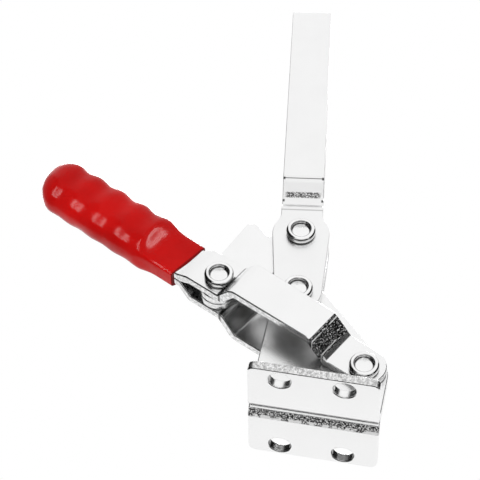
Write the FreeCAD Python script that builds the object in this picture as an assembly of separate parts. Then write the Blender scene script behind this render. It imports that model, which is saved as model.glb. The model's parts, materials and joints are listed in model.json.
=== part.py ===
import FreeCAD, Part
import math
import os

# Vertical toggle clamp, pressed from steel sheet, drawn fully open.
# x runs the way the bar points when the clamp is closed, z runs up from the base, and y runs
# across the sheets. The origin is on the underside of the base, midway between its four holes.
# Every sheet stands upright, side by side, so a side view is an outline in x and z, and a
# sheet's place across the clamp is a distance from the middle plane y = 0.

V = FreeCAD.Vector
ACROSS = V(0, 1, 0)

# Sheet metal
sheet = 2.8
inner_bend = 1.2
side_gap = 0.1
pin_gap = 0.05
seat_gap = 0.02

# Linkage, in the side view
bar_pivot_x = -11.6
bar_pivot_z = 41.75
handle_pivot_x = 12.7
handle_pivot_z = 16.85
bar_crank = 22.4
link_length = 30.3
bar_open_angle = 97.9
over_centre_angle = 5.0

# Rivets
pin_radius = 3.0
rivet_head_radius = 4.5
rivet_head_height = 2.3
rivet_rim_radius = 3.0
rivet_recess_depth = 1.4
rivet_edge_round = 0.9
rivet_lip_round = 0.4

# Base plates
base_hole_pitch_x = 19.0
base_hole_pitch_y = 32.6
base_hole_radius = 3.4
base_hole_margin = 4.5
base_corner_round = 2.2
web_bar_lobe = 7.5
web_handle_lobe = 7.2

# Clamping bar: distances along it start at its link rivet
bar_width = 12.84
bar_pivot_lobe = 7.2
bar_link_lobe = 8.8
bar_shoulder_round = 5.0
neck_gap = 0.2
neck_start = 10.4
neck_step = 2.4
neck_flat = 4.8
spindle_slot = 8.4
slot_step = 4.3
slot_length = 74.6

# Link plates: distances along a plate start at the handle rivet
link_handle_lobe = 6.1
link_bar_lobe = 6.6
stop_height = 14.6
stop_shoulder = 13.2
stop_crest = 2.1
stop_round = 0.8
stop_gap = 0.25

# Handle plates: distances along a plate start at the rivet in the base
handle_foot_width = 12.2
handle_foot_drop = 1.1
handle_width = 13.7
handle_drop = 0.6
bridge_rise = 6.3
bridge_start = 10.6
bridge_ramp_in = 6.3
bridge_ramp_out = 5.0
bridge_end_margin = 4.7
squeeze_margin = 7.2
squeeze_ramp = 4.6
tang_width = 12.2
tang_end_round = 3.0

# Grip: distances along it start at its mouth
grip_length = 58.2
grip_mouth_width = 15.0
grip_mouth_depth = 7.3
grip_mouth_round = 0.9
grip_body_width = 17.3
grip_body_depth = 12.6
grip_body_round = 4.5
grip_body_rise = 0.2
grip_swell_length = 15.2
grip_swell_delay = 2.8
grip_tip_length = 9.1
grip_tip_rise = 2.8
grip_tip_wall = 5.0
finger_count = 4
finger_pitch = 9.2
first_finger = 19.1
finger_height = 0.82
finger_side = 0.21
finger_under = 0.1
steps_per_finger = 8
corner_limit = 0.98
tip_stations = (0.58, 0.4, 0.25, 0.13, 0.05, 0.01)


def side_point(origin, angle, along, left=0.0):
    """Point in the side view: so far along a direction, and so far to its left."""
    a = math.radians(angle)
    return V(origin.x + along * math.cos(a) - left * math.sin(a), 0,
             origin.z + along * math.sin(a) + left * math.cos(a))


def side_angle(start, end):
    """Angle of the line from start to end in the side view, in degrees from +x towards +z."""
    return math.degrees(math.atan2(end.z - start.z, end.x - start.x))


# The linkage closes by itself: the handle's rivet distance comes from the closed clamp, where the
# handle stands a little past the line through its pivot and the link, and the open place of every
# rivet follows from the bar's opening angle.
bar_pivot = V(bar_pivot_x, 0, bar_pivot_z)
handle_pivot = V(handle_pivot_x, 0, handle_pivot_z)
link_rivet_closed = side_point(bar_pivot, 0, bar_crank)
lock_distance = (link_rivet_closed - handle_pivot).Length
lock_offset = lock_distance * math.sin(math.radians(over_centre_angle))
handle_arm = math.sqrt(lock_distance**2 - lock_offset**2) + math.sqrt(link_length**2 - lock_offset**2)
link_rivet = side_point(bar_pivot, bar_open_angle, bar_crank)
open_distance = (link_rivet - handle_pivot).Length
open_cosine = (open_distance**2 + handle_arm**2 - link_length**2) / (2 * open_distance * handle_arm)
handle_angle = side_angle(handle_pivot, link_rivet) + math.degrees(math.acos(open_cosine))
handle_rivet = side_point(handle_pivot, handle_angle, handle_arm)
link_angle = side_angle(handle_rivet, link_rivet)
handle_closed_angle = side_angle(handle_pivot, link_rivet_closed) - over_centre_angle
handle_rivet_closed = side_point(handle_pivot, handle_closed_angle, handle_arm)
link_closed_angle = side_angle(handle_rivet_closed, link_rivet_closed)

# Places across the clamp
inner_layer = sheet / 2
outer_layer = 1.5 * sheet + side_gap
outer_face = outer_layer + sheet / 2
bend_middle = inner_bend + sheet / 2
tang_end = handle_arm + squeeze_margin + squeeze_ramp + grip_length - grip_tip_wall
grip_mouth = handle_arm + squeeze_margin + squeeze_ramp + sheet / 2
far_out = 100.0


def bent_strip(corners, width_line, width):
    """A sheet that follows the line through these corners, with a round bend at each, and runs
    as wide as the width, centred on the line, in the direction of width_line."""

    def sideways(start, end):
        return width_line.cross((end - start).normalize())

    def one_face(side):
        """Edges of the face that lies this far to one side of the line."""
        edges = []
        start = corners[0] + sideways(corners[0], corners[1]) * side
        for before, corner, after in zip(corners, corners[1:], corners[2:]):
            inward = (corner - before).normalize()
            outward = (after - corner).normalize()
            half_turn = inward.getAngle(outward) / 2
            reach = bend_middle * math.tan(half_turn)
            to_centre = (outward - inward).normalize()
            centre = corner + to_centre * (bend_middle / math.cos(half_turn))
            first = corner - inward * reach + sideways(before, corner) * side
            last = corner + outward * reach + sideways(corner, after) * side
            middle = centre - to_centre * (first - centre).Length
            edges.append(Part.LineSegment(start, first).toShape())
            edges.append(Part.Arc(first, middle, last).toShape())
            start = last
        end = corners[-1] + sideways(corners[-2], corners[-1]) * side
        edges.append(Part.LineSegment(start, end).toShape())
        return edges

    upper = one_face(sheet / 2)
    lower = one_face(-sheet / 2)
    start_cap = Part.LineSegment(upper[0].Vertexes[0].Point, lower[0].Vertexes[0].Point).toShape()
    end_cap = Part.LineSegment(upper[-1].Vertexes[-1].Point, lower[-1].Vertexes[-1].Point).toShape()
    loop = Part.__sortEdges__(upper + lower + [start_cap, end_cap])
    face = Part.Face(Part.Wire(loop))
    face.translate(width_line * (-width / 2))
    return face.extrude(width_line * width)


def tangent_points(centre_a, radius_a, centre_b, radius_b):
    """Ends of the straight edge on the left of two round lobes, going from a to b."""
    line = side_angle(centre_a, centre_b)
    distance = (centre_b - centre_a).Length
    lean = math.degrees(math.asin((radius_a - radius_b) / distance))
    return (side_point(centre_a, line + 90 - lean, radius_a),
            side_point(centre_b, line + 90 - lean, radius_b))


def disc(centre, radius):
    """Round lobe of an outline."""
    return Part.Face(Part.Wire(Part.Circle(centre, ACROSS, radius).toShape()))


def polygon(points):
    """Straight-sided piece of an outline."""
    return Part.Face(Part.makePolygon(points + points[:1]))


def strap(centre_a, radius_a, centre_b, radius_b):
    """Outline of two round lobes joined by their outer tangents."""
    left_a, left_b = tangent_points(centre_a, radius_a, centre_b, radius_b)
    right_b, right_a = tangent_points(centre_b, radius_b, centre_a, radius_a)
    body = polygon([left_a, left_b, right_b, right_a])
    return [disc(centre_a, radius_a), disc(centre_b, radius_b), body]


def blank(faces, low=-far_out, high=far_out):
    """Sheet blank: the outline's pieces as one solid, from low to high across the clamp."""
    prisms = []
    for face in faces:
        prism = face.extrude(ACROSS * (high - low))
        prism.translate(ACROSS * low)
        prisms.append(prism)
    joined = prisms[0].fuse(prisms[1:]) if len(prisms) > 1 else prisms[0]
    return joined.removeSplitter()


def hole(centre, radius):
    """Round hole through every sheet at a pivot."""
    return Part.makeCylinder(radius, 2 * far_out, centre - ACROSS * far_out, ACROSS)


def round_corner(solid, corner, radius, reach):
    """Rounds the edge that runs across the sheet at a corner of the outline."""
    edges = [edge for edge in solid.Edges
             if edge.BoundBox.XLength < reach and edge.BoundBox.ZLength < reach
             and abs(edge.CenterOfMass.x - corner.x) < reach
             and abs(edge.CenterOfMass.z - corner.z) < reach]
    return solid.makeFillet(radius, edges)


def mirrored(solid):
    """The same piece on the other side of the middle plane."""
    return solid.mirror(V(0, 0, 0), ACROSS)


def base_plate():
    """Left base plate: a web with two rivet lobes, folded out at its foot into a bolting flange."""
    left = bar_pivot.x - web_bar_lobe
    right = handle_pivot.x + web_handle_lobe
    depth = base_hole_pitch_y / 2 + base_hole_margin
    top = bar_pivot.z + web_bar_lobe
    profile = [V(left, inner_layer, top), V(left, inner_layer, inner_layer), V(left, depth, inner_layer)]
    folded = bent_strip(profile, V(1, 0, 0), 2 * far_out)
    lobes = strap(bar_pivot, web_bar_lobe, handle_pivot, web_handle_lobe)
    side = polygon([V(left, 0, 0), V(left, 0, bar_pivot.z), bar_pivot,
                    handle_pivot, V(right, 0, handle_pivot.z), V(right, 0, 0)])
    plate = folded.common(blank(lobes + [side]))
    corners = [edge for edge in plate.Edges
               if edge.BoundBox.XLength < seat_gap and edge.BoundBox.YLength < seat_gap
               and edge.CenterOfMass.y > depth - seat_gap]
    plate = plate.makeFillet(base_corner_round, corners)
    for x in (-base_hole_pitch_x / 2, base_hole_pitch_x / 2):
        bolt_hole = Part.makeCylinder(base_hole_radius, 3 * sheet, V(x, base_hole_pitch_y / 2, -sheet))
        plate = plate.cut(bolt_hole)
    plate = plate.cut(hole(bar_pivot, pin_radius + pin_gap))
    return plate.cut(hole(handle_pivot, pin_radius + seat_gap))


def clamp_bar():
    """The bar: one strip folded back on itself, whose two legs part at the tip for the spindle,
    meet at the neck and part again to straddle the link and the base."""
    tip = neck_start + neck_step + neck_flat + slot_step + slot_length
    neck_layer = (neck_gap + sheet) / 2
    slot_layer = (spindle_slot + sheet) / 2
    leg = [(-bar_crank - 2 * bar_pivot_lobe, outer_layer), (neck_start, outer_layer),
           (neck_start + neck_step, neck_layer), (neck_start + neck_step + neck_flat, neck_layer),
           (neck_start + neck_step + neck_flat + slot_step, slot_layer), (tip - sheet / 2, slot_layer)]
    route = leg + [(along, -across) for along, across in reversed(leg)]
    direction = side_point(V(0, 0, 0), bar_open_angle, 1)
    corners = [link_rivet + direction * along + ACROSS * across for along, across in route]
    folded = bent_strip(corners, side_point(V(0, 0, 0), bar_open_angle, 0, 1), 4 * bar_link_lobe)
    half = bar_width / 2
    strip = polygon([side_point(link_rivet, bar_open_angle, 0, half),
                     side_point(link_rivet, bar_open_angle, tip, half),
                     side_point(link_rivet, bar_open_angle, tip, -half),
                     side_point(link_rivet, bar_open_angle, 0, -half)])
    outline = blank(strap(bar_pivot, bar_pivot_lobe, link_rivet, bar_link_lobe) + [strip])
    shoulder = math.sqrt(bar_link_lobe**2 - half**2)
    for side in (half, -half):
        corner = side_point(link_rivet, bar_open_angle, shoulder, side)
        outline = round_corner(outline, corner, bar_shoulder_round, seat_gap)
    bar = folded.common(outline)
    bar = bar.cut(hole(bar_pivot, pin_radius + seat_gap))
    return bar.cut(hole(link_rivet, pin_radius + seat_gap))


def link_plate():
    """Left link plate: a strap between two rivets with a raised stop, which lands on the bar's
    edge when the clamp is shut."""
    closed = math.radians(link_closed_angle)
    stop_foot = (bar_width / 2 + stop_gap - stop_shoulder * math.cos(closed)) / -math.sin(closed)
    lands_at = link_length - stop_foot
    crest = side_point(handle_rivet, link_angle, lands_at - stop_crest, stop_height)
    shoulder = side_point(handle_rivet, link_angle, lands_at, stop_shoulder)
    foot = side_point(handle_rivet, link_angle, lands_at, link_bar_lobe)
    lobe_side = tangent_points(handle_rivet, link_handle_lobe, crest, 0.0)[0]
    stop = polygon([handle_rivet, lobe_side, crest, shoulder, foot, link_rivet])
    outline = strap(handle_rivet, link_handle_lobe, link_rivet, link_bar_lobe)
    plate = blank(outline + [stop], 0, sheet)
    for corner in (crest, shoulder):
        plate = round_corner(plate, corner, stop_round, seat_gap)
    for pivot in (handle_rivet, link_rivet):
        plate = plate.cut(hole(pivot, pin_radius + pin_gap))
    return plate


def handle_outline(clearance=0.0):
    """Side view of a handle plate: a round end at the base, a strip that widens a little, and a
    narrower tang inside the grip. The clearance widens the tang alone, for the pocket it fills."""

    def edge_point(along, left, drop=handle_drop):
        return side_point(handle_pivot, handle_angle, along, left - drop)

    neck = handle_arm + squeeze_margin
    half = handle_width / 2
    foot = handle_foot_width / 2
    tang = tang_width / 2 + clearance
    end = tang_end + clearance
    strip = polygon([edge_point(0, foot, handle_foot_drop), edge_point(neck, half),
                     edge_point(neck + squeeze_ramp, tang), edge_point(end, tang),
                     edge_point(end, -tang), edge_point(neck + squeeze_ramp, -tang),
                     edge_point(neck, -half), edge_point(0, -foot, handle_foot_drop)])
    outline = blank([disc(edge_point(0, 0, handle_foot_drop), foot), strip])
    for side in (tang, -tang):
        outline = round_corner(outline, edge_point(end, side), tang_end_round, seat_gap)
    return outline


def handle_plate():
    """Left handle plate: it lies against the base at its pivot, bridges outwards past the other
    rivet heads, lies against the link, and closes on its twin inside the grip."""
    rise = outer_layer + bridge_rise
    route = [(-handle_width, outer_layer), (bridge_start, outer_layer),
             (bridge_start + bridge_ramp_in, rise),
             (handle_arm - bridge_end_margin - bridge_ramp_out, rise),
             (handle_arm - bridge_end_margin, outer_layer),
             (handle_arm + squeeze_margin, outer_layer),
             (handle_arm + squeeze_margin + squeeze_ramp, inner_layer), (tang_end, inner_layer)]
    direction = side_point(V(0, 0, 0), handle_angle, 1)
    corners = [handle_pivot + direction * along + ACROSS * across for along, across in route]
    folded = bent_strip(corners, side_point(V(0, 0, 0), handle_angle, 0, 1), 4 * handle_width)
    plate = folded.common(handle_outline())
    plate = plate.cut(hole(handle_pivot, pin_radius + pin_gap))
    return plate.cut(hole(handle_rivet, pin_radius + seat_gap))


def rivet_head(centre, seat):
    """Rolled head of a tubular rivet: a rounded collar around a shallow recess, standing on the
    face that lies at this distance from the middle plane."""
    top = seat + rivet_head_height
    crown = rivet_head_radius - rivet_edge_round
    lip = rivet_rim_radius + rivet_lip_round
    diagonal = math.sqrt(0.5)
    shoulder = V(rivet_head_radius, top - rivet_edge_round, 0)
    shoulder_bulge = V(crown + rivet_edge_round * diagonal, top - rivet_edge_round * (1 - diagonal), 0)
    lip_bulge = V(lip - rivet_lip_round * diagonal, top - rivet_lip_round * (1 - diagonal), 0)
    lip_end = V(rivet_rim_radius, top - rivet_lip_round, 0)
    floor = top - rivet_recess_depth
    floor_edge = V(rivet_rim_radius - rivet_lip_round, floor, 0)
    edges = [Part.LineSegment(V(0, seat, 0), V(rivet_head_radius, seat, 0)).toShape(),
             Part.LineSegment(V(rivet_head_radius, seat, 0), shoulder).toShape(),
             Part.Arc(shoulder, shoulder_bulge, V(crown, top, 0)).toShape(),
             Part.LineSegment(V(crown, top, 0), V(lip, top, 0)).toShape(),
             Part.Arc(V(lip, top, 0), lip_bulge, lip_end).toShape(),
             Part.LineSegment(lip_end, floor_edge).toShape(),
             Part.LineSegment(floor_edge, V(0, floor, 0)).toShape(),
             Part.LineSegment(V(0, floor, 0), V(0, seat, 0)).toShape()]
    head = Part.Face(Part.Wire(edges)).revolve(V(0, 0, 0), ACROSS, 360)
    head.translate(centre)
    return head


def rivet(centre, head_gap):
    """Rivet through every sheet at a pivot, with a rolled head at each end, this far off the
    outer sheets."""
    seat = outer_face + head_gap
    shank = Part.makeCylinder(pin_radius, 2 * seat, centre - ACROSS * seat, ACROSS)
    head = rivet_head(centre, seat)
    return shank.fuse([head, mirrored(head)]).removeSplitter()


def rivet_ends(centre, head_gap):
    """The same rivet as two separate ends, each filling only the outer sheet on its side. The
    loop of bars is open at this pivot, so nothing may stand in the middle sheets' path."""
    seat = outer_face + head_gap
    inner = outer_face - sheet
    shank = Part.makeCylinder(pin_radius, seat - inner, centre + ACROSS * inner, ACROSS)
    end = shank.fuse(rivet_head(centre, seat)).removeSplitter()
    return Part.makeCompound([end, mirrored(end)])


def grip_section(along, above, below, depth, corner):
    """Rounded rectangle across the grip, from so far above to so far below the handle's middle
    line. The corner is kept small enough to leave a short straight piece on every side."""
    half = depth / 2
    corner = min(corner, corner_limit * half, corner_limit * (above + below) / 2)
    cut = corner * (1 - math.sqrt(0.5))

    def at(offset, across):
        place = side_point(handle_pivot, handle_angle, along, offset - handle_drop)
        return place + ACROSS * across

    sides = [((below, -half + corner), (below, half - corner)),
             ((below - corner, half), (corner - above, half)),
             ((-above, half - corner), (-above, corner - half)),
             ((corner - above, -half), (below - corner, -half))]
    bulges = [(below - cut, half - cut), (cut - above, half - cut),
              (cut - above, cut - half), (below - cut, cut - half)]
    edges = []
    for index, (start, end) in enumerate(sides):
        following = sides[(index + 1) % 4][0]
        edges.append(Part.LineSegment(at(*start), at(*end)).toShape())
        edges.append(Part.Arc(at(*end), at(*bulges[index]), at(*following)).toShape())
    return Part.Wire(edges)


def grip_form(reach):
    """Section of the grip this far from its mouth. It swells late and steeply out of the flat
    mouth, is pressed in once for each finger, and closes in a dome whose top lies off centre."""
    swell = min(1.0, reach / grip_swell_length) ** grip_swell_delay
    swell = swell * swell * (3 - 2 * swell)
    dome = max(0.0, (reach - grip_length) / grip_tip_length + 1)
    shrink = math.sqrt(1 - dome * dome)
    turns = (reach - first_finger) / finger_pitch
    wave = 0.5 + 0.5 * math.cos(2 * math.pi * turns) if -0.5 < turns < finger_count - 0.5 else 0.0
    half = (grip_mouth_width + (grip_body_width - grip_mouth_width) * swell) / 2 * shrink
    rise = grip_body_rise * swell + grip_tip_rise * (1 - shrink)
    depth = (grip_mouth_depth + (grip_body_depth - grip_mouth_depth) * swell) * shrink
    corner = (grip_mouth_round + (grip_body_round - grip_mouth_round) * swell) * shrink
    press = wave * shrink
    return grip_section(grip_mouth + reach, half + rise - finger_height * press,
                        half - rise - finger_under * press, depth - 2 * finger_side * press, corner)


def grip():
    """Dipped handle grip, with a pocket inside that holds the tangs of both plates."""
    step = finger_pitch / steps_per_finger
    waves_start = first_finger - finger_pitch / 2
    swell_steps = round(waves_start / step)
    tip_reaches = [grip_length - grip_tip_length * left for left in tip_stations]
    wave_steps = int((tip_reaches[0] - waves_start) / step)
    reaches = [waves_start * index / swell_steps for index in range(swell_steps)]
    reaches += [waves_start + step * index for index in range(wave_steps)]
    reaches += tip_reaches
    body = Part.makeLoft([grip_form(reach) for reach in reaches], True, False)
    pocket_depth = 2 * (sheet + seat_gap)
    pocket = Part.makeBox(4 * far_out, pocket_depth, 4 * far_out,
                          V(-2 * far_out, -pocket_depth / 2, -2 * far_out))
    return body.cut(pocket.common(handle_outline(seat_gap)))


parts = {
    "base_plate_left": base_plate(),
    "base_plate_right": mirrored(base_plate()),
    "clamp_bar": clamp_bar(),
    "link_plate_left": link_plate(),
    "link_plate_right": mirrored(link_plate()),
    "handle_plate_left": handle_plate(),
    "handle_plate_right": mirrored(handle_plate()),
    "handle_grip": grip(),
    "bar_base_rivet": rivet_ends(bar_pivot, seat_gap),
    "handle_base_rivet": rivet(handle_pivot, side_gap),
    "handle_link_rivet": rivet(handle_rivet, seat_gap),
    "bar_link_rivet": rivet(link_rivet, seat_gap),
}
os.makedirs("parts", exist_ok=True)
for name, shape in parts.items():
    shape.exportStep("parts/" + name + ".step")
    box = shape.BoundBox
    print(name, shape.isValid(), len(shape.Solids), round(shape.Volume, 1),
          [round(value, 2) for value in (box.XMin, box.YMin, box.ZMin, box.XMax, box.YMax, box.ZMax)])
print("handle angle", round(handle_angle, 3), "closed", round(handle_closed_angle, 3))
print("link angle", round(link_angle, 3), "closed", round(link_closed_angle, 3))
print("handle arm", round(handle_arm, 3), "handle rivet", handle_rivet, "link rivet", link_rivet)
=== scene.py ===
# %% [markdown]
# # A toggle clamp, dressed in cells
#
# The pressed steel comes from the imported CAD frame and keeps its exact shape. This file rolls the
# sheets' edges, turns the rivets and moulds the grip as smooth surfaces, gives each piece its
# finish, and sets up the photograph's view. Every step has a cell like this one that explains it.

import json
import math

import bmesh
import bpy
import numpy as np
from mathutils import Matrix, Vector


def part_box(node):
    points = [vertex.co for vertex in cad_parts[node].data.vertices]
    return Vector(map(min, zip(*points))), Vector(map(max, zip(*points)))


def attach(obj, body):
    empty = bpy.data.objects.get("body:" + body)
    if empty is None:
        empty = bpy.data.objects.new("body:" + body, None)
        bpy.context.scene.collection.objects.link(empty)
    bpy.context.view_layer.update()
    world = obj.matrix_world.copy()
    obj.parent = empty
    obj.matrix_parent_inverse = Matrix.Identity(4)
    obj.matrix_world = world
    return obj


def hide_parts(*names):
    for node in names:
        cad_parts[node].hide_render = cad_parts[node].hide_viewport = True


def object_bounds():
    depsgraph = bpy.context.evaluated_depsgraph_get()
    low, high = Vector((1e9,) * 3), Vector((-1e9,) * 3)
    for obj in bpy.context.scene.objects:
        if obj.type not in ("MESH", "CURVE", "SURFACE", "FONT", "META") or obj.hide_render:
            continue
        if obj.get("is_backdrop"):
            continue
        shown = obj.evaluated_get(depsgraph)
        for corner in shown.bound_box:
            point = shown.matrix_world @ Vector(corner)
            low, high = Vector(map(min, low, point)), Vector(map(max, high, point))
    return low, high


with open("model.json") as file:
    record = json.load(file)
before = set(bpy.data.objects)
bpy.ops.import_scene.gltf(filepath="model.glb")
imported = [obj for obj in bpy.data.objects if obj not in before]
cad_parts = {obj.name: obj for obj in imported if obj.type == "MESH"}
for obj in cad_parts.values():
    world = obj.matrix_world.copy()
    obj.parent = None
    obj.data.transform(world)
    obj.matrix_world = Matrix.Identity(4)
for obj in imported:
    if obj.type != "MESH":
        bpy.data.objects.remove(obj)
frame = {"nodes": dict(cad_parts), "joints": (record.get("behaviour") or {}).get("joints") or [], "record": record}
scene = bpy.context.scene


def save_bounds(label, sizes):
    """Adds the shown object's two corners under a label, in metres, and prints them."""
    low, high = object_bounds()
    sizes[label] = [list(low), list(high)]
    print(label, [round(value, 4) for value in list(low) + list(high)])


sizes = {}
save_bounds("before", sizes)

# %% [markdown]
# ## Places on the clamp
#
# Rivets, grain and grip all have to sit where the press and the hinges put them. The record's
# joints hold the centres of three of the four rivets, and the fourth is the middle of its own
# head's box, so nothing is typed twice. From these come the directions in which the handle and the
# bar point.

# %% Rivet centres and directions
mm = 0.001
joints = {joint["name"]: np.array(joint["pos_m"]) for joint in frame["joints"]}
base_rivet = joints["handle_swing"]
handle_rivet = joints["link_swing"]
link_rivet = joints["bar_swing"]
bar_rivet = np.mean(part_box("bar_base_rivet"), axis=0)
across = np.array([0.0, 1.0, 0.0])


def unit(vector):
    """The same direction, one metre long."""
    return vector / np.linalg.norm(vector)


handle_way = unit(handle_rivet - base_rivet)
handle_below = np.cross(handle_way, across)
bar_way = unit(link_rivet - bar_rivet)
print("handle points", handle_way.round(3), "bar points", bar_way.round(3))

# %% [markdown]
# ## Shader helpers
#
# Every finish here is a chain of shader nodes. These short helpers add a node, join two sockets and
# run a bit of arithmetic, so that each finish below reads like a recipe. All patterns start from
# Object coordinates, which stay on the metal when a hinge turns.

# %% Making and joining nodes
def new_material(name):
    """An empty node tree with a Principled shader on its output."""
    material = bpy.data.materials.new(name)
    material.use_nodes = True
    tree = material.node_tree
    tree.nodes.clear()
    surface = tree.nodes.new("ShaderNodeBsdfPrincipled")
    output = tree.nodes.new("ShaderNodeOutputMaterial")
    tree.links.new(surface.outputs["BSDF"], output.inputs["Surface"])
    return material, tree, surface


def plug(tree, value, socket):
    """Joins a socket to an input, or writes a plain value on it."""
    if isinstance(value, bpy.types.NodeSocket):
        tree.links.new(value, socket)
    else:
        socket.default_value = value


def add(tree, kind, **inputs):
    """A node of this kind, with each named input set or linked."""
    node = tree.nodes.new("ShaderNode" + kind)
    for name, value in inputs.items():
        plug(tree, value, node.inputs[name.replace("_", " ")])
    return node


def maths(tree, operation, *values):
    """Output of a Math node."""
    node = tree.nodes.new("ShaderNodeMath")
    node.operation = operation
    for value, socket in zip(values, node.inputs):
        plug(tree, value, socket)
    return node.outputs[0]


print("node helpers ready")

# %% Measuring along the metal
def here(tree):
    """Object coordinates, in metres, in the clamp's own frame."""
    return tree.nodes.new("ShaderNodeTexCoord").outputs["Object"]


def along(tree, place, origin, way):
    """Distance from an origin along a direction, in metres."""
    shift = add(tree, "VectorMath")
    shift.operation = "SUBTRACT"
    plug(tree, place, shift.inputs[0])
    plug(tree, tuple(origin), shift.inputs[1])
    dot = add(tree, "VectorMath")
    dot.operation = "DOT_PRODUCT"
    plug(tree, shift.outputs["Vector"], dot.inputs[0])
    plug(tree, tuple(way), dot.inputs[1])
    return dot.outputs["Value"]


def climb(tree, value, start, end):
    """Rises smoothly from 0 to 1 while the value goes from start to end."""
    node = add(tree, "MapRange", Value=value)
    node.interpolation_type = "SMOOTHSTEP"
    node.inputs["From Min"].default_value = start
    node.inputs["From Max"].default_value = end
    return node.outputs["Result"]


def band(tree, distance, low, high, soft):
    """1 between low and high, falling to 0 over the soft width outside."""
    rise = climb(tree, distance, low - soft, low)
    fall = climb(tree, distance, high + soft, high)
    return maths(tree, "MULTIPLY", rise, fall)


print("measuring helpers ready")

# %% Texture and colour
def noise(tree, place, waves, detail=3.0, roughness=0.5):
    """Even noise from 0 to 1, with this many waves per metre."""
    node = add(tree, "TexNoise", Vector=place, Scale=waves, Detail=detail, Roughness=roughness)
    return node.outputs[0]


def grey(tone):
    """A plain grey, with the fourth number that a colour socket asks for."""
    return (tone, tone, tone, 1)


def ramp(tree, value, *stops):
    """Output of a colour ramp through these stops, each a place and a grey or a colour."""
    node = add(tree, "ValToRGB", Fac=value)
    elements = node.color_ramp.elements
    while len(elements) < len(stops):
        elements.new(0.5)
    for element, (position, colour) in zip(elements, stops):
        element.position = position
        element.color = grey(colour) if isinstance(colour, float) else (*colour, 1)
    return node.outputs["Color"]


def blend(tree, share, first, second):
    """The first colour where the share is 0, the second where it is 1."""
    node = tree.nodes.new("ShaderNodeMix")
    node.data_type = "RGBA"
    plug(tree, share, node.inputs["Factor"])
    plug(tree, first, node.inputs[6])
    plug(tree, second, node.inputs[7])
    return node.outputs[2]


def bump(tree, height, distance):
    """Normal of a surface that rises by this many metres where the height is 1."""
    return add(tree, "Bump", Height=height, Distance=distance).outputs["Normal"]


print("texture helpers ready")

# %% [markdown]
# ## Masks on a sheet
#
# Marks on a sheet lie in strips along a bend, on cut edges, on the walls of the bolt holes and on
# faces that look inwards. The cut edges carry streaks; most of the other marks are painted shade
# or painted highlights. Such masks could be painted by hand. Here each is worked out from the place
# on the metal or from the way its face looks, so it stays sharp close up and needs no picture. The
# holes' places come from the record.

# %% Masks
bolts = next(mount for mount in frame["record"]["mounts"] if mount["name"] == "base_bolts")["dims"]
hole_at = (bolts["spacing_x_mm"] / 2 * mm, bolts["spacing_y_mm"] / 2 * mm)
hole_radius = bolts["hole_r_mm"] * mm
wall_near, wall_far = 0.02 * mm, 0.15 * mm
edge_starts, edge_full = 0.6, 0.2
inside_starts, inside_full = -0.15, -0.5


def widest(tree, place, marks):
    """The largest of several marks at each place. A mark is an origin, a direction, a low and a
    high distance along it, a soft width and how strongly it shows."""
    mask = 0.0
    for origin, way, low, high, soft, share in marks:
        one = band(tree, along(tree, place, origin, way), low, high, soft)
        mask = maths(tree, "MAXIMUM", mask, maths(tree, "MULTIPLY", one, share))
    return mask


def overlap(tree, place, first, second):
    """Two lists of marks multiplied, so that only the places in both are left."""
    return maths(tree, "MULTIPLY", widest(tree, place, first), widest(tree, place, second))


def inside_holes(tree, place):
    """1 on the walls of the four bolt holes. The holes mirror each other, so x and y without
    their signs, less one hole's place, lead to the nearest middle, and the length of that way, the
    root of its squares' sum, is a hole's radius on a wall."""
    split = add(tree, "SeparateXYZ", Vector=place)
    off = [maths(tree, "SUBTRACT", maths(tree, "ABSOLUTE", split.outputs[axis]), middle_at)
           for axis, middle_at in zip("XY", hole_at)]
    squares = [maths(tree, "MULTIPLY", one, one) for one in off]
    from_middle = maths(tree, "SQRT", maths(tree, "ADD", *squares))
    return climb(tree, from_middle, hole_radius + wall_far, hole_radius + wall_near)


def turned_across(tree):
    """How far a face is turned to the left or the right side, from -1 to 1."""
    facing = tree.nodes.new("ShaderNodeNewGeometry").outputs["True Normal"]
    return add(tree, "SeparateXYZ", Vector=facing).outputs["Y"]


def cut_edges(tree):
    """1 on the edges, which look along the sheet, 0 on its flat sides, which look across."""
    return climb(tree, maths(tree, "ABSOLUTE", turned_across(tree)), edge_starts, edge_full)


def inwards(tree, place):
    """1 on faces that look towards the middle plane, 0 elsewhere: the place's distance across
    the clamp and the turn of its face have opposite signs there."""
    side = maths(tree, "SIGN", add(tree, "SeparateXYZ", Vector=place).outputs["Y"])
    outwards = maths(tree, "MULTIPLY", side, turned_across(tree))
    return climb(tree, outwards, inside_starts, inside_full)


print("bolt holes at", [round(value / mm, 2) for value in hole_at], "mm both ways")

# %% [markdown]
# ## Plated sheet
#
# The sheets are pressed from strip and then plated bright. A flat face is even and pale, with faint
# clouds from the bath. Round a tight bend the skin shows grain with pale specks, and the band's
# near-black tone is painted shade of the bend. Thin pale lines along the handle's step are painted
# highlights, and dark lines at bends and at the ends of the bar's step are painted shade. Cut edges
# are streaked where the blade tore them, hole walls carry painted grey shade, and faces between two
# sheets are painted darker as shade. A photo texture could show all this in one view only. So the
# finish is built up in layers, each a colour that is laid over the last by its mask.

# %% Layers of colour
plate_pale, plate_cloud = 0.935, 0.905
# Painted shade: faces between two sheets are painted a darker grey, where the sheets shade each other.
inside_shade_grey, inside_shade_swing = 0.44, 0.06
shear_dark, shear_pale = 0.38, 0.86
punch_shade = 0.6
# Painted shade: crease lines and the spots at the ends of the bar's step lines are near black.
crease_shade_grey = 0.03
# Grain tones: the dark ones are painted shade of the bends, the pale one is grain specks.
grain_shade_dark, grain_shade_mid, grain_pale = 0.012, 0.10, 0.75
cloud_waves, shear_waves, punch_waves, pale_mark_waves = 70.0, 1100.0, 900.0, 500.0
# Pale marks lighten spots; on the handle's step they are painted highlights.
pale_mark_low, pale_mark_high = 0.42, 0.50


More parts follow.
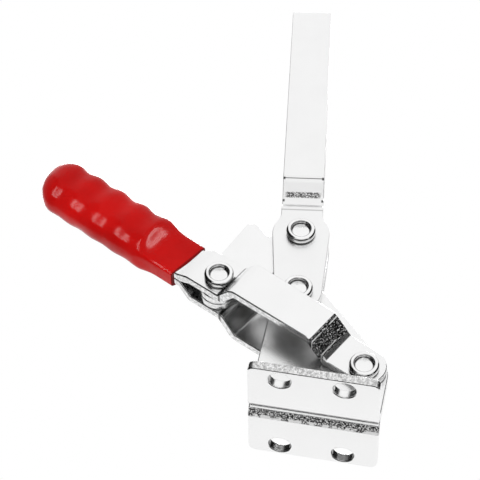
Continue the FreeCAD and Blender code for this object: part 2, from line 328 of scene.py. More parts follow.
def shaded_inside(tree, place, colour, clouds):
    """Painted shade: a darker grey on the faces that look inwards, where the sheets shade each other."""
    inside_shade = ramp(tree, clouds, (0.3, inside_shade_grey), (0.7, inside_shade_grey + inside_shade_swing))
    return blend(tree, inwards(tree, place), colour, inside_shade)


def sheared(tree, place, colour, strips, share):
    """Dark and pale streaks on strips of torn edge, and by a share on every cut edge."""
    streaks = noise(tree, place, shear_waves, roughness=0.7)
    mottled = ramp(tree, streaks, (0.38, shear_dark), (0.60, shear_pale))
    edges = maths(tree, "MULTIPLY", cut_edges(tree), share)
    torn = maths(tree, "MAXIMUM", edges, widest(tree, place, strips))
    return blend(tree, torn, colour, mottled)


def shaded_holes(tree, place, colour, tone):
    """Mottled painted shade on the walls of the bolt holes."""
    spots = noise(tree, place, punch_waves)
    wall = ramp(tree, spots, (0.35, tone * punch_shade), (0.65, tone))
    return blend(tree, inside_holes(tree, place), colour, wall)


def grained_and_shaded(tree, place, colour, mask, pale):
    """Grain where the mask is 1: near black where pale is 0, which is painted shade of the bend, and a light speck
    where it is 1.
    """
    tones = ramp(tree, pale, (0.0, grain_shade_dark), (0.5, grain_shade_mid), (1.0, grain_pale))
    return blend(tree, mask, colour, tones)


def with_pale_marks(tree, place, pale, pale_marks):
    """Pale specks with the pale marks' spots added to them; on the handle's step these are painted highlights."""
    spots = climb(tree, noise(tree, place, pale_mark_waves, detail=2.0), pale_mark_low, pale_mark_high)
    marked_spots = maths(tree, "MULTIPLY", spots, widest(tree, place, pale_marks))
    return maths(tree, "MAXIMUM", pale, marked_spots)


print("plate from", plate_cloud, "to", plate_pale, "grain from", grain_shade_dark, "to", grain_pale)

# %% [markdown]
# The layers meet in one function, because every sheet is the same steel and differs only in its
# marks. Bare metal is metallic 1, and its colour tints what it mirrors. A pale speck of grain
# scatters light instead, so metallic falls there. The grain is also a bump, deep in the bands and
# hardly there elsewhere.

# %% Plated sheet finish
grain_depth, skin_depth = 0.25 * mm, 0.01 * mm
matt_swing = 0.10


def plated_sheet(name, matt=0.15, bands=(), limits=(), grain=(0.50, 0.68), grain_waves=2800.0,
                 pale_marks=(), creases=(), corners=(), shear=(), cut_share=0.0, shade_inside=False,
                 hole_shade_grey=None):
    """Bright plated steel, smoother where matt is low. Bands hold the grain, whose dark tone is
    painted shade, and limits, if any, cut them short. The two numbers of grain are the noise levels
    between which a speck turns from dark to pale. Pale_marks, creases and shear are lists of
    marks: pale marks lighten spots, and shaded creases are lines of painted shade. Corners are two
    lists, and a painted shadow lies where they meet. Shade_inside paints shade on the faces that
    look inwards. Cut_share is how much all cut edges show as sheared, and hole_shade_grey, if given,
    the tone of the painted shade on the hole walls."""
    material, tree, surface = new_material(name)
    place = here(tree)
    clouds = noise(tree, place, cloud_waves, detail=4.0)
    specks = noise(tree, place, grain_waves, detail=1.0, roughness=0.6)
    colour = ramp(tree, clouds, (0.35, plate_cloud), (0.65, plate_pale))
    # Painted shade on the faces that look inwards.
    if shade_inside:
        colour = shaded_inside(tree, place, colour, clouds)
    if shear or cut_share:
        colour = sheared(tree, place, colour, shear, cut_share)
    # Painted shade on the walls of the bolt holes.
    if hole_shade_grey:
        colour = shaded_holes(tree, place, colour, hole_shade_grey)
    # Painted shade: near-black lines along the creases, and painted shadow spots where the two lists of corners
    # meet.
    if creases:
        colour = blend(tree, widest(tree, place, creases), colour, grey(crease_shade_grey))
    if corners:
        colour = blend(tree, overlap(tree, place, *corners), colour, grey(crease_shade_grey))
    mask = overlap(tree, place, bands, limits) if limits else widest(tree, place, bands)
    surface.inputs["Metallic"].default_value = 1.0
    # Grain in the bands: the specks are grain, the dark tone is painted shade of the bend.
    if bands:
        pale = climb(tree, specks, *grain)
        if pale_marks:
            pale = with_pale_marks(tree, place, pale, pale_marks)
        colour = grained_and_shaded(tree, place, colour, mask, pale)
        scatter = maths(tree, "MULTIPLY", mask, pale)
        tree.links.new(maths(tree, "SUBTRACT", 1.0, scatter), surface.inputs["Metallic"])
    tree.links.new(colour, surface.inputs["Base Color"])
    gloss = maths(tree, "MULTIPLY_ADD", clouds, matt_swing, matt)
    tree.links.new(gloss, surface.inputs["Roughness"])
    relief = maths(tree, "MAXIMUM", mask, skin_depth / grain_depth)
    height = maths(tree, "MULTIPLY", specks, relief)
    tree.links.new(bump(tree, height, grain_depth), surface.inputs["Normal"])
    return material


print("grain", grain_depth / mm, "mm deep, plain skin", skin_depth / mm, "mm")

# %% [markdown]
# ## Rolled edges
#
# A press leaves no knife edges: the cut edges of each sheet are rolled over a little, and it is
# these narrow rounds that draw the bright and dark lines round every piece. The CAD mesh stays as
# it is. A copy of it has its doubles merged and its flat faces joined, and a Bevel modifier on the
# sharp edges rolls them. The copy then rides on the same body and takes the CAD node's place. The
# bar is rolled less than the plates, because its edges draw thinner lines in the photograph.

# %% Edges of the sheets
record = frame["record"]
body_of = {node: body for body, nodes in record["behaviour"]["bodies"].items() for node in nodes}
press_roll, bar_roll = 0.45 * mm, 0.20 * mm
roll_segments = 3
weld_reach = 0.001 * mm
sharp_turn = math.radians(35)
flat_turn = math.radians(0.5)


def stand_in(obj, node):
    """Lets a finished object ride on the body of the CAD node that it takes the place of, and hides that node."""
    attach(obj, body_of[node])
    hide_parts(node)


def merged_copy(node):
    """A copy of a CAD node's mesh with its doubles merged and its flat faces joined."""
    work = bmesh.new()
    work.from_mesh(frame["nodes"][node].data)
    bmesh.ops.remove_doubles(work, verts=work.verts, dist=weld_reach)
    bmesh.ops.dissolve_limit(work, angle_limit=flat_turn, verts=work.verts, edges=work.edges)
    for face in work.faces:
        face.smooth = True
    mesh = bpy.data.meshes.new(node + "_rolled")
    work.to_mesh(mesh)
    work.free()
    kept = mesh.attributes.get("custom_normal")
    if kept:
        mesh.attributes.remove(kept)
    mesh.materials.clear()
    return mesh


def rolled_sheet(node, material, edge_roll):
    """A CAD sheet with its sharp edges rolled over by this width."""
    mesh = merged_copy(node)
    mesh.materials.append(material)
    obj = bpy.data.objects.new(node + "_rolled", mesh)
    scene.collection.objects.link(obj)
    roll = obj.modifiers.new("roll", "BEVEL")
    roll.limit_method = "ANGLE"
    roll.angle_limit = sharp_turn
    roll.width = edge_roll
    roll.segments = roll_segments
    roll.use_clamp_overlap = False
    roll.harden_normals = True
    stand_in(obj, node)
    return len(mesh.polygons)


print("edges are rolled by", press_roll / mm, "mm, and on the bar by", bar_roll / mm, "mm")

# %% [markdown]
# ## Marks on the handle and the bar
#
# The handle plates step outwards next to the base rivet, and the bar steps into its neck. Both
# steps show grain whose dark tone is painted shade. The handle's step has thin painted highlights
# along its rims, and a soft line of painted shade lies further along, at a concave bend. The bar
# has two thin lines of painted shade beside its step, and a painted shadow spot where each of two
# lines meets an edge of the strip. Each mark is measured along the sheet from the nearest rivet on
# it, so it stays in its bend.

# %% Handle and bar marks
def mark(origin, way, low, high, soft, share=1.0):
    """A mark between two distances from an origin along a way, all of them in millimetres."""
    return origin, way, low * mm, high * mm, soft * mm, share


# Grain band of the handle's step; its dark tone is painted shade.
bridge_step = mark(base_rivet, handle_way, 11.4, 16.3, 0.2)
# Painted highlights: thin pale lines along the rims of the handle's step.
bridge_glints = [mark(base_rivet, handle_way, 15.35, 15.5, 0.12),
                 mark(base_rivet, handle_way, 11.8, 11.95, 0.12, 0.9)]
# Painted shade: a soft dark line at the handle's concave bend.
bridge_bend_shade = mark(base_rivet, handle_way, 50.2, 50.5, 0.5, 0.85)

bar_half = 6.42
bar_side = np.cross(bar_way, across)
# Grain band of the bar's step; its dark tone is painted shade.
neck_step = mark(link_rivet, bar_way, 16.8, 17.9, 0.4, 0.9)
neck_middle = mark(link_rivet, bar_side, -4.6, 4.6, 1.4)
# Painted shade: thin dark lines beside the bar's step, and painted shadow spots where two lines meet its edges.
neck_shade_lines = [mark(link_rivet, bar_way, 21.4, 21.5, 0.15, 0.9),
              mark(link_rivet, bar_way, 9.3, 9.5, 0.3, 0.4)]
shadow_spot_lines = [mark(link_rivet, bar_way, 21.2, 21.6, 0.4),
              mark(link_rivet, bar_way, 15.1, 15.7, 0.4)]
shadow_spot_rims = [mark(link_rivet, side, bar_half - 0.5, bar_half + 1.0, 0.4, 0.9)
             for side in (bar_side, -bar_side)]
print("bridge step", [round(value / mm, 1) for value in bridge_step[2:4]], "mm from the rivet")

# %% [markdown]
# ## Marks on the base
#
# Web and flange of a base plate meet in a fold along the clamp's foot. On the far plate the outer
# side of the fold faces the camera and is all grain, its dark tone painted shade, with paler spots
# below. On the near plate only the fold's lower part shows, with two faint lines of painted shade,
# and the cut end of its flange is torn. A fold is measured askew, halfway between web and flange,
# so that a mark follows its round.

# %% Base marks and all the sheets
middle = np.zeros(3)
far_fold_way = unit(np.array([0.0, 1.0, -1.0]))
near_fold_way = far_fold_way * (1, -1, 1)
# Grain band of the far fold; its dark tone is painted shade.
foot_fold = mark(middle, far_fold_way, -0.1, 2.3, 0.4)
foot_pale_spots = mark(middle, far_fold_way, 1.7, 2.6, 0.6)
# Painted shade: two faint dark lines in the near fold.
near_fold = [mark(middle, near_fold_way, 0.45, 0.9, 0.3, 0.55),
             mark(middle, near_fold_way, 1.9, 2.1, 0.2, 0.35)]
flange_end = abs(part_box("base_plate_right")[0][1]) / mm
cut_end = mark(middle, -across, flange_end - 0.1, flange_end + 1.0, 0.3, 0.9)

link_finish = dict(cut_share=0.5)
# The handle's pale marks are painted highlights; its shaded crease and inner faces are painted shade.
handle_finish = dict(matt=0.20, bands=[bridge_step], pale_marks=bridge_glints, creases=[bridge_bend_shade],
                     cut_share=0.7, shade_inside=True)
sheets = {
    # The far plate's fold grain is darkened as painted shade, and its hole walls carry painted shade.
    "base_plate_left": dict(matt=0.20, bands=[foot_fold], grain=(0.36, 0.62), grain_waves=2600.0,
                            pale_marks=[foot_pale_spots], hole_shade_grey=0.40),
    # The near plate's two fold lines are painted shade.
    "base_plate_right": dict(matt=0.20, creases=near_fold, shear=[cut_end]),
    # The bar's step grain, lines and corner spots are darkened as painted shade.
    "clamp_bar": dict(matt=0.26, bands=[neck_step], limits=[neck_middle], grain=(0.42, 0.60),
                      creases=neck_shade_lines, corners=(shadow_spot_lines, shadow_spot_rims)),
    "link_plate_left": link_finish,
    "link_plate_right": link_finish,
    "handle_plate_left": handle_finish,
    "handle_plate_right": handle_finish,
}
for node, finish in sheets.items():
    roll = bar_roll if node == "clamp_bar" else press_roll
    faces = rolled_sheet(node, plated_sheet("plated_" + node, **finish), roll)
    print(node, faces, "faces,", len(finish.get("bands", [])), "bands of grain")

# %% [markdown]
# ## Surfaces from rings
#
# The rivets and the grip are each a stack of closed rings: a two-way grid of points, one way round
# the piece and the other along it. The grid is worked out as whole arrays, and the helpers here
# only join neighbours into faces. The first and last rings close on a point, so the skin has no
# hole, and the enclosed volume's sign tells whether the faces look outwards.

# %% Skin over rings
def ring_faces(count, around):
    """Faces between neighbouring rings, and fans that close the two end rings on two more
    points. Each corner is a point's number: its ring's number times the points in a ring, plus
    its place round the ring."""
    place = np.arange(around)
    after = (place + 1) % around
    row = np.arange(count - 1)[:, None] * around
    above = row + around
    quads = np.stack([row + place, row + after, above + after, above + place], axis=-1)
    last = (count - 1) * around
    first_middle, last_middle = count * around, count * around + 1
    first_fan = np.stack([after, place, np.full(around, first_middle)], axis=-1)
    last_fan = np.stack([last + place, last + after, np.full(around, last_middle)], axis=-1)
    return quads.reshape(-1, 4), np.vstack([first_fan, last_fan])


def ring_skin(name, rings, material):
    """An object whose skin joins each ring to the next. The array rings holds, for each ring and
    each place round it, a point in metres, and the end rings close on their middle points. The
    volume is a sixth of the sum of all triangles' box products, and faces that look inwards make
    it negative."""
    points = np.vstack([rings.reshape(-1, 3), rings[0].mean(axis=0), rings[-1].mean(axis=0)])
    quads, fans = ring_faces(*rings.shape[:2])
    halves = np.vstack([quads[:, [0, 1, 2]], quads[:, [0, 2, 3]], fans])
    corner = points[halves] - points[0]
    volume = np.sum(np.cross(corner[:, 0], corner[:, 1]) * corner[:, 2]) / 6
    if volume < 0:
        quads, fans = quads[:, ::-1], fans[:, ::-1]
    mesh = bpy.data.meshes.new(name)
    mesh.from_pydata(points.tolist(), [], quads.tolist() + fans.tolist())
    mesh.shade_smooth()
    mesh.materials.append(material)
    obj = bpy.data.objects.new(name, mesh)
    scene.collection.objects.link(obj)
    print(name, len(quads) + len(fans), "faces,", round(abs(volume) / mm**3), "cubic mm")
    return obj


print("two rings of four points make", len(ring_faces(2, 4)[0]), "side faces")

# %% [markdown]
# ## Rivets
#
# Each rivet is a steel tube end that a forming tool has rolled over: a straight wall, a round
# collar and a shallow cup with a soft floor. All of these are bodies of revolution, so a rivet is
# one line of radius against height, carried round the pivot. The line's bends are eased with arcs,
# because it is their curve that makes the dark and bright crescents seen on a polished rivet.

# %% Line of a rivet head
head_radius = 4.5 * mm
head_height = 2.3 * mm
wall_round = 0.85 * mm
lip_round = 0.45 * mm
cup_radius = 2.95 * mm
cup_depth = 1.4 * mm
cup_round = 0.55 * mm
cup_lean = 8.0
floor_dome = 0.12 * mm
floor_start = 0.08
foot_round = 0.12 * mm
arc_steps, floor_steps, wall_steps = 10, 8, 8


def arc(radius, height, size, start, end):
    """Points on a circle about (radius, height), from one angle to another, in degrees."""
    turn = np.radians(np.linspace(start, end, arc_steps))
    return np.stack([radius + size * np.cos(turn), height + size * np.sin(turn)], axis=-1)


def head_line(seat):
    """Radius and height of a head that stands on a face at this height, from the middle of its
    cup, up over the collar and down the wall to the face. The cup's floor rises to its middle as
    a quarter of a cosine wave."""
    top = seat + head_height
    out = np.linspace(floor_start, 1.0, floor_steps) * (cup_radius - 2 * cup_round)
    lift = floor_dome * np.cos(np.pi / 2 * out / out[-1])
    floor = np.stack([out, top - cup_depth + lift], axis=-1)
    cup = arc(cup_radius - cup_round, top - cup_depth + cup_round, cup_round, -90, -cup_lean)
    lip = arc(cup_radius + lip_round, top - lip_round, lip_round, 180 - cup_lean, 90)
    wall = arc(head_radius - wall_round, top - wall_round, wall_round, 90, 0)
    rise = np.linspace(top - wall_round, seat + foot_round, wall_steps)[1:-1]
    side = np.stack([np.full_like(rise, head_radius), rise], axis=-1)
    foot = arc(head_radius - foot_round, seat + foot_round, foot_round, 0, -90)
    return np.vstack([floor, cup, lip, wall, side, foot])


print("head line has", len(head_line(0.0)), "points")

# %% [markdown]
# ## Painted shade on a rivet
#
# Shade is painted round the foot of the head and up the side of its cup, where the head meets the
# plate and where the cup is deep. Two fine dark lines of painted reflection also follow the collar.
# A texture painted on a flat map would be hard to lay on a rivet. The shade is worked out instead
# from the same line as the form, and kept on the mesh as an attribute that the finish reads.

# %% Painted shade and steel of a rivet
outer_face = 5.7 * mm
# Painted shade at the foot of the head and in its cup, and two lines of painted reflection on the collar.
foot_shade, shade_fade = 0.45 * mm, 0.35 * mm
cup_unshaded = 0.25 * mm
rim_shade_width = 0.17 * mm
rim_shade_lines = [(3.10 * mm, 0.75), (4.38 * mm, 0.75)]
shade_grey, shade_waves = 0.03, 900.0
shade_low, shade_high = 0.15, 0.55


def shade_on(radius, height):
    """How much painted shade a point of the line gets: fully at the foot of the outer wall and in the
    corner and up the side of the cup, not at all on the collar and the floor. The collar's two dark
    lines of painted reflection are bell curves about their radius, on the upper half of the head alone."""
    rise = height - outer_face
    foot = np.clip((foot_shade - rise) / shade_fade + 1, 0, 1)
    foot = np.where(radius > cup_radius + lip_round, foot, 0)
    side = np.clip((radius - cup_radius + cup_round) / cup_round, 0, 1)
    deep = np.clip((head_height - cup_unshaded - rise) / shade_fade, 0, 1)
    cup = np.where(radius <= cup_radius + lip_round / 2, side * deep, 0)
    upper = rise > head_height / 2
    rims = [share * np.exp(-((radius - at) / rim_shade_width) ** 2) * upper for at, share in rim_shade_lines]
    return np.max([foot, cup, *rims], axis=0)


def rivet_steel():
    """Plated steel that darkens with the painted shade of each point."""
    material = plated_sheet("rivet_steel", matt=0.12)
    tree = material.node_tree
    surface = next(node for node in tree.nodes if node.type == "BSDF_PRINCIPLED")
    # The painted shade is read from the mesh attribute and broken into patches.
    painted_shade = tree.nodes.new("ShaderNodeAttribute")
    painted_shade.attribute_name = "painted_shade"
    specks = noise(tree, here(tree), shade_waves, detail=2.0)
    patchy = climb(tree, specks, shade_low, shade_high)
    share = maths(tree, "MULTIPLY", painted_shade.outputs["Fac"], patchy)
    unshaded = surface.inputs["Base Color"].links[0].from_socket
    tree.links.new(blend(tree, share, unshaded, grey(shade_grey)), surface.inputs["Base Color"])
    return material


rivet_finish = rivet_steel()
line = head_line(outer_face)
# Prints the strongest painted shade on the line.
print("dirtiest point", round(shade_on(line[:, 0], line[:, 1]).max(), 2))

# %% Turn the rivets
shank_radius = 3.0 * mm
seat_gap = 0.02 * mm
side_gap = 0.1 * mm
turn_steps = 72


def turned(name, line, centre):
    """Carries a line of radius and height round the pivot at this centre: each point becomes a
    ring, centre + radius (cos t, 0, sin t) + height across. The painted shade of each point is kept
    as an attribute for the finish."""
    t = np.linspace(0, 2 * np.pi, turn_steps, endpoint=False)
    spoke = np.stack([np.cos(t), np.zeros_like(t), np.sin(t)], axis=-1)
    rings = centre + line[:, None, :1] * spoke[None] + line[:, None, 1:] * across
    obj = ring_skin(name, rings, rivet_finish)
    painted_shade = shade_on(line[:, 0], np.abs(line[:, 1]))
    kept = obj.data.attributes.new("painted_shade", "FLOAT", "POINT")
    kept.data.foreach_set("value", np.concatenate([np.repeat(painted_shade, turn_steps), painted_shade[[0, -1]]]))
    return obj


seats = {"handle_base_rivet": (base_rivet, side_gap), "handle_link_rivet": (handle_rivet, seat_gap),
         "bar_link_rivet": (link_rivet, seat_gap)}
for node, (centre, gap) in seats.items():
    half = np.vstack([head_line(outer_face + gap), [[shank_radius, outer_face + gap]]])
    stand_in(turned(node + "_turned", np.vstack([half, half[::-1] * (1, -1)]), centre), node)

# %% [markdown]
# The rivet between bar and base is two separate ends, because the model opens the linkage there.
# Each end is the same head with a short shank that fills the hole in the bar's leg.

# %% Two rivet ends
sheet = 2.8 * mm
inner_face = outer_face - sheet
seat = outer_face + seat_gap
shank = [[shank_radius, seat], [shank_radius, inner_face], [shank_radius / 2, inner_face]]
end_line = np.vstack([head_line(seat), shank])
centre = np.array([bar_rivet[0], 0.0, bar_rivet[2]])
left_end = turned("bar_base_rivet_left", end_line, centre)
right_end = turned("bar_base_rivet_right", end_line * (1, -1), centre)
stand_in(left_end, "bar_base_rivet")
stand_in(right_end, "bar_base_rivet")

# %% [markdown]
# ## Grip
#
# The grip is a red vinyl sleeve, dipped over the tangs: it leaves the flat mouth, swells to the
# hand, is pressed in once for each finger and closes in an off-centre dome. It could be sculpted,
# but its sizes would be hard to keep. Here every ring is a superellipse, an oval that can be nearly
# a rectangle, which is square at the slanted mouth and round at the body. So the whole skin is one
# formula in two parameters: the way round the ring, and the reach from the mouth.

# %% Sizes of the grip
grip_mouth = 67.85 * mm
grip_length = 58.5 * mm
mouth_width, mouth_depth = 14.8 * mm, 6.7 * mm
body_width, body_depth = 18.2 * mm, 13.3 * mm
body_rise, tip_rise = 0.4 * mm, 2.6 * mm
handle_drop = 0.6 * mm
mouth_square, body_square = 9.0, 2.5
mouth_bow, mouth_slant = 0.5 * mm, 0.7 * mm
swell_length, swell_delay = 15.7 * mm, 2.8
tip_length = 9.1 * mm
finger_count, finger_pitch, first_finger = 4, 9.2 * mm, 19.6 * mm
finger_top, finger_under, finger_fade = 0.66 * mm, 0.15 * mm, 0.45
print("grip from", round(grip_mouth / mm, 1), "to", round((grip_mouth + grip_length) / mm, 1), "mm")

# %% Form of the grip
ring_steps = 128


def grip_rings(reach, inset):
    """Rings of the grip at these reaches, each drawn in by its inset. A ring is a superellipse: the
    powers of the two shares of its half sizes add up to one, and the power falls from the square
    mouth to the round body. The swell is a power of the reach, eased at both ends; the fingers are
    raised cosines, deepest above and fading to the underside; and the dome shrinks every size by
    the root of one minus its square."""
    swell = np.clip(reach / swell_length, 0, 1) ** swell_delay
    swell = swell * swell * (3 - 2 * swell)
    dome = np.clip((reach - grip_length) / tip_length + 1, 0, 1)
    shrink = np.sqrt(1 - dome * dome)
    turns = (reach - first_finger) / finger_pitch
    gripped = (turns > -0.5) & (turns < finger_count - 0.5)
    press = np.where(gripped, 0.5 + 0.5 * np.cos(2 * np.pi * turns), 0) * shrink
    wide = (mouth_width + (body_width - mouth_width) * swell) / 2 * shrink - inset
    deep = (mouth_depth + (body_depth - mouth_depth) * swell) / 2 * shrink - inset
    rise = body_rise * swell + tip_rise * (1 - shrink)
    power = 2 / (mouth_square + (body_square - mouth_square) * np.sqrt(swell))[:, None]
    t = np.linspace(0, 2 * np.pi, ring_steps, endpoint=False)
    c, s = np.cos(t), np.sin(t)
    low_share = np.sign(c) * np.abs(c) ** power
    deep_share = np.sign(s) * np.abs(s) ** power
    upward = (1 - low_share) / 2
    depth = press[:, None] * (finger_under + (finger_top - finger_under) * upward ** finger_fade)
    down = low_share * wide[:, None] - rise[:, None] - depth * c
    out = deep_share * deep[:, None] - depth * s
    near_mouth = np.clip(1 - reach / swell_length, 0, 1)[:, None]
    bow = (mouth_bow * (1 - low_share ** 2) - mouth_slant * low_share) * near_mouth
    line = base_rivet + (grip_mouth + reach[:, None] - bow)[..., None] * handle_way
    return line + (down - handle_drop)[..., None] * handle_below + out[..., None] * across


print("each ring has", ring_steps, "points")

# %% [markdown]
# The rings stand close where the skin turns and apart where it runs straight: a few across the flat
# face of the mouth, an arc of them over its lip, even steps along the body, and steps that shorten
# towards the tip as the height of a turning point does, so that the dome stays round.

# %% Places of the rings
face_inner, face_outer, face_rings = 0.9, 0.2, 6
mouth_lip, lip_steps = 0.3 * mm, 7
skin_step = 0.25 * mm
dome_end, dome_steps = 89.0, 30

face_insets = np.linspace(face_inner, face_outer, face_rings) * mouth_depth / 2
lip_turn = np.radians(np.linspace(0, 90, lip_steps))
dome_start = grip_length - tip_length
along_skin = np.arange(mouth_lip, dome_start, skin_step)[1:]
dome_reach = dome_start + tip_length * np.sin(np.radians(np.linspace(0, dome_end, dome_steps)))
reach = np.concatenate([np.zeros(face_rings), mouth_lip * (1 - np.cos(lip_turn)), along_skin,
                        dome_reach])
inset = np.concatenate([face_insets, mouth_lip * (1 - np.sin(lip_turn)),
                        np.zeros(len(along_skin) + dome_steps)])
print("grip has", len(reach), "rings")

# %% [markdown]
# ## Dipped vinyl
#
# Dipped vinyl is a deep red with a soft gloss: patches of the dip are a little brighter than
# others, it has sagged in slow waves, and a haze of bloom lies on it. Its shine is weaker than that
# of hard plastic, so a lamp shows as a pink patch on a bulge and the rest stays deep red. Sheen
# gives the haze, noise the patches and waves. The rim at the mouth is painted darker, as painted
# shade at the mouth's edge.

# %% Grip finish
vinyl_deep, vinyl_bright = (0.41, 0.0018, 0.0015), (0.53, 0.0036, 0.0030)
# Painted shade: the rim at the mouth is painted darker.
vinyl_rim_shade = (0.20, 0.0015, 0.0015, 1)
vinyl_shine, vinyl_haze, haze_spread = 0.07, 0.5, 0.35
vinyl_matt, vinyl_swing = 0.13, 0.06
patch_waves, sag_waves, peel_waves = 60.0, 130.0, 420.0
sag_depth, peel_share = 0.5 * mm, 0.03
rim_start, rim_full = grip_mouth + 0.15 * mm, grip_mouth - 0.1 * mm


def dipped_vinyl():
    """Deep red vinyl: patches in colour and gloss, slow sag with a fine peel, and a rim of painted
    shade that follows the slanted mouth."""
    material, tree, surface = new_material("dipped_vinyl")
    place = here(tree)
    patches = noise(tree, place, patch_waves)
    peel = noise(tree, place, peel_waves, detail=2.0)
    sag = noise(tree, place, sag_waves, detail=1.0)
    red = ramp(tree, patches, (0.35, vinyl_deep), (0.65, vinyl_bright))
    slanted = unit(handle_way - handle_below * mouth_slant / (mouth_width / 2))
    rim_shade = climb(tree, along(tree, place, base_rivet, slanted), rim_start, rim_full)
    tree.links.new(blend(tree, rim_shade, red, vinyl_rim_shade), surface.inputs["Base Color"])
    surface.inputs["Specular IOR Level"].default_value = vinyl_shine
    surface.inputs["Sheen Weight"].default_value = vinyl_haze
    surface.inputs["Sheen Roughness"].default_value = haze_spread
    gloss = maths(tree, "MULTIPLY_ADD", patches, vinyl_swing, vinyl_matt)
    tree.links.new(maths(tree, "MAXIMUM", gloss, rim_shade), surface.inputs["Roughness"])
    height = maths(tree, "MULTIPLY_ADD", peel, peel_share, sag)
    tree.links.new(bump(tree, height, sag_depth), surface.inputs["Normal"])
    return material


grip = ring_skin("handle_grip_dipped", grip_rings(reach, inset), dipped_vinyl())
stand_in(grip, "handle_grip")

# %% [markdown]
# A polished handle this close to a red grip would mirror it, and the photograph shows no red in the
# metal. So the grip is hidden from mirrored rays. That is a setting of the studio: the grip itself
# looks the same.

# %% Keep red out of the metal
grip.visible_glossy = False
print("mirrored in metal:", grip.visible_glossy)

# %% [markdown]
# ## Camera
#
# The photograph's viewpoint was found by matching the four base holes, the rivets and the bar's
# corners. It looks up at the clamp from in front and below, through a long lens, and the clamp
# leans in the picture. Blender's own camera angles could say this too, but turn, tilt and roll,
# taken one after the other, are how a photographer moves the camera.

# %% Photo view
view_point = np.array([65.913, -578.227, -398.264]) * mm
view_turn, view_tilt, view_roll = np.radians([9.7670, 38.1363, 14.2288])
photo_side = 480
focal_pixels = 2400.0
sensor_width = 36.0
clip_near, clip_far = 0.05, 20.0


def place_at(obj, right, up, back, point):
    """Puts an object at a point, with its own x, y and z along these three directions."""
    turn = np.eye(4)
    turn[:3, 0], turn[:3, 1], turn[:3, 2], turn[:3, 3] = right, up, back, point
    obj.matrix_world = Matrix(turn.tolist())


def view_axes(turn, tilt, roll):
    """Right, up and ahead of a camera that looks along y, turned about the upright, then tilted
    upwards, then rolled about its own line of sight."""
    level = np.array([np.cos(turn), np.sin(turn), 0.0])
    ahead = np.array([-np.sin(turn) * np.cos(tilt), np.cos(turn) * np.cos(tilt), np.sin(tilt)])
    right = level * np.cos(roll) + np.cross(level, ahead) * np.sin(roll)
    return right, np.cross(right, ahead), ahead


lens = bpy.data.cameras.new("photo_view")
lens.sensor_width = sensor_width
lens.lens = focal_pixels * sensor_width / photo_side
lens.clip_start, lens.clip_end = clip_near, clip_far
camera = bpy.data.objects.new("photo_view", lens)
right, up, ahead = view_axes(view_turn, view_tilt, view_roll)
place_at(camera, right, up, -ahead, view_point)
scene.collection.objects.link(camera)
scene.camera = camera
print("lens", round(lens.lens, 1), "mm, looking along", ahead.round(3))

# %% [markdown]
# ## White room
#
# The photograph's background is plain white, and the bright metal shows that same white. So camera,
# glossy and transmission rays see a world of strength 1, and only the soft light that falls on the
# object is turned down, to leave room for the lamps.

# %% World
seen_light, room_light = 1.0, 0.55
world = bpy.data.worlds.new("white_room")
scene.world = world
world.use_nodes = True
tree = world.node_tree
tree.nodes.clear()
path = tree.nodes.new("ShaderNodeLightPath")
ray = {kind: path.outputs[f"Is {kind} Ray"] for kind in ("Camera", "Glossy", "Transmission")}
through = maths(tree, "MAXIMUM", ray["Glossy"], ray["Transmission"])
seen = maths(tree, "MAXIMUM", ray["Camera"], through)
soft = add(tree, "Background", Color=grey(1.0), Strength=room_light)
white = add(tree, "Background", Color=grey(1.0), Strength=seen_light)
choose = add(tree, "MixShader", Fac=seen)
tree.links.new(soft.outputs["Background"], choose.inputs[1])
tree.links.new(white.outputs["Background"], choose.inputs[2])
output = tree.nodes.new("ShaderNodeOutputWorld")
tree.links.new(choose.outputs["Shader"], output.inputs["Surface"])
scene.view_settings.view_transform = "Standard"
print("seen", seen_light, "and lit with", room_light)

# %% [markdown]
# ## Soft boxes
#
# Three soft boxes, left, right and low in front, shape the clamp with soft light. They don't show
# in reflections, because bright metal has no room for a patch that is brighter than the white room.
# A fourth lights the back and the top and may be mirrored there. Each lamp is an area light that is
# turned to face the clamp, as a real soft box on its stand is.

# %% Lamps
look_at = np.array([-0.03, 0.0, 0.07])
upright = (0, 0, 1)


def aim(obj, point, long_way):
    """Puts an object at a point, with its face towards the clamp and its own y near long_way."""
    back = unit(np.array(point) - look_at)
    side = unit(np.cross(long_way, back))
    place_at(obj, side, np.cross(back, side), back, point)


def softbox(name, point, width, height, watts, long_way=upright):
    """A rectangular lamp that faces the clamp, with its height along long_way."""
    lamp = bpy.data.lights.new(name, "AREA")
    lamp.shape = "RECTANGLE"
    lamp.size, lamp.size_y = width, height
    lamp.energy = watts
    obj = bpy.data.objects.new(name, lamp)
    scene.collection.objects.link(obj)
    aim(obj, point, long_way)
    print(name, "radiance", round(watts / (math.pi * width * height), 1))
    return obj


front_lamps = [("left_front", (-0.56, -0.76, -0.11), 0.40, 0.52, 2.6),
               ("right_front", (0.32, -0.78, 0.34), 0.40, 0.52, 2.6),
               ("fill_low", (-0.35, -0.20, -0.85), 0.50, 0.50, 2.6)]
for lamp in front_lamps:
    softbox(*lamp).visible_glossy = False
softbox("back_high", (-0.08, 0.70, 1.00), 0.50, 0.30, 5.0)

# %% [markdown]
# ## Lamps for the grip
#
# The pink patches on the grip are mirrored windows: a patch's place tells which way the skin looks
# there, and so where its window stands. Three more lamps make them. They are flagged off everything
# else, which in Blender is a receiver collection that holds the grip alone, and they only show as
# reflections.

# %% Windows in the grip
grip_only = bpy.data.collections.new("grip_only")
grip_only.objects.link(grip)
left_lean = (0.39, -0.54, 0.74)

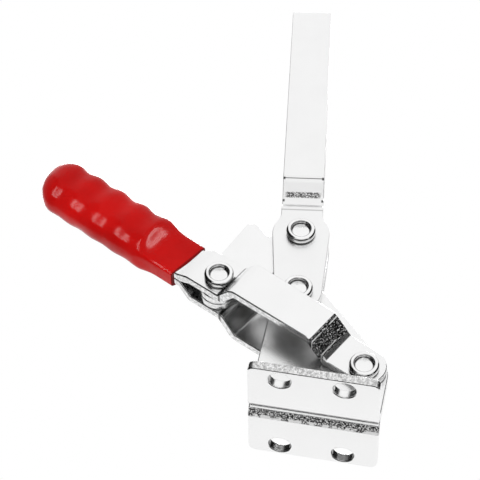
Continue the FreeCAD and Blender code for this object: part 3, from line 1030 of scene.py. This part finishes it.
grip_lamps = [("left_window", (-0.60, -0.80, -0.21), 0.20, 0.78, 9.5, left_lean),
              ("right_window", (0.51, -0.83, 0.17), 0.23, 0.46, 9.0, upright),
              ("top_window", (-0.04, 0.62, 0.91), 1.20, 0.80, 14.0, upright)]
for lamp in grip_lamps:
    window = softbox(*lamp)
    window.visible_diffuse = False
    window.light_linking.receiver_collection = grip_only

# %% [markdown]
# ## Dark cards
#
# Bright metal in a white room would vanish. A studio stands black cards outside the picture, and
# their reflections draw the dark lines along bends, edges and rivets. One lies below the clamp and
# one stands on each side. Only mirrored rays see them, so they take no light from anything.

# %% Cards
card_black = 0.01


def dark_card(name, corners):
    """A black card with these four corners that only shows in reflections."""
    mesh = bpy.data.meshes.new(name)
    mesh.from_pydata(corners, [], [(0, 1, 2, 3)])
    obj = bpy.data.objects.new(name, mesh)
    material, tree, surface = new_material(name)
    surface.inputs["Base Color"].default_value = grey(card_black)
    surface.inputs["Roughness"].default_value = 1.0
    surface.inputs["Specular IOR Level"].default_value = 0.0
    mesh.materials.append(material)
    scene.collection.objects.link(obj)
    obj.visible_camera = False
    obj.visible_diffuse = False
    obj.visible_shadow = False
    obj.visible_transmission = False
    obj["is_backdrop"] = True
    print(name, corners[0], "to", corners[2])


def lying_card(name, z, left, right, front, back):
    """A black card that lies at this height, all sizes in metres."""
    dark_card(name, [(left, front, z), (right, front, z), (right, back, z), (left, back, z)])


def side_card(name, x, front, back, low, high):
    """A black card that stands at this x, from front to back and from low to high."""
    dark_card(name, [(x, front, low), (x, back, low), (x, back, high), (x, front, high)])


lying_card("card_below", -0.55, -1.60, 1.20, -0.42, 0.42)
side_card("card_right", 0.80, -0.60, 0.50, -0.25, 1.00)
side_card("card_left", -0.95, -2.60, 0.55, -0.80, 1.00)

# %% [markdown]
# ## Floor
#
# The clamp stands on a plain pale floor that keeps its shadow. The photograph looks up through the
# place of the floor, so the floor shows only from above: Backfacing makes it clear from below. It
# is also clear to every ray but the camera's, so the metal mirrors the white room and the cards.

# %% Floor
floor_grey, floor_matt = 0.9, 0.9
floor_reach = 3.0
floor_depth = 0.6 * mm
corners = floor_reach * np.array([(-1, -1, 0), (1, -1, 0), (1, 1, 0), (-1, 1, 0)])
corners -= (0, 0, floor_depth)
mesh = bpy.data.meshes.new("floor")
mesh.from_pydata(corners.tolist(), [], [(0, 1, 2, 3)])
floor = bpy.data.objects.new("floor", mesh)
scene.collection.objects.link(floor)
floor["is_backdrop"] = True
material, tree, surface = new_material("floor")
surface.inputs["Base Color"].default_value = grey(floor_grey)
surface.inputs["Roughness"].default_value = floor_matt
clear = tree.nodes.new("ShaderNodeBsdfTransparent")
path = tree.nodes.new("ShaderNodeLightPath")
side = tree.nodes.new("ShaderNodeNewGeometry")
front = maths(tree, "SUBTRACT", 1.0, side.outputs["Backfacing"])
shown = maths(tree, "MULTIPLY", front, path.outputs["Is Camera Ray"])
choose = add(tree, "MixShader", Fac=shown)
tree.links.new(clear.outputs["BSDF"], choose.inputs[1])
tree.links.new(surface.outputs["BSDF"], choose.inputs[2])
output = next(node for node in tree.nodes if node.type == "OUTPUT_MATERIAL")
tree.links.new(choose.outputs["Shader"], output.inputs["Surface"])
mesh.materials.append(material)
print("floor at", -floor_depth / mm, "mm")

# %% Finish
save_bounds("after", sizes)
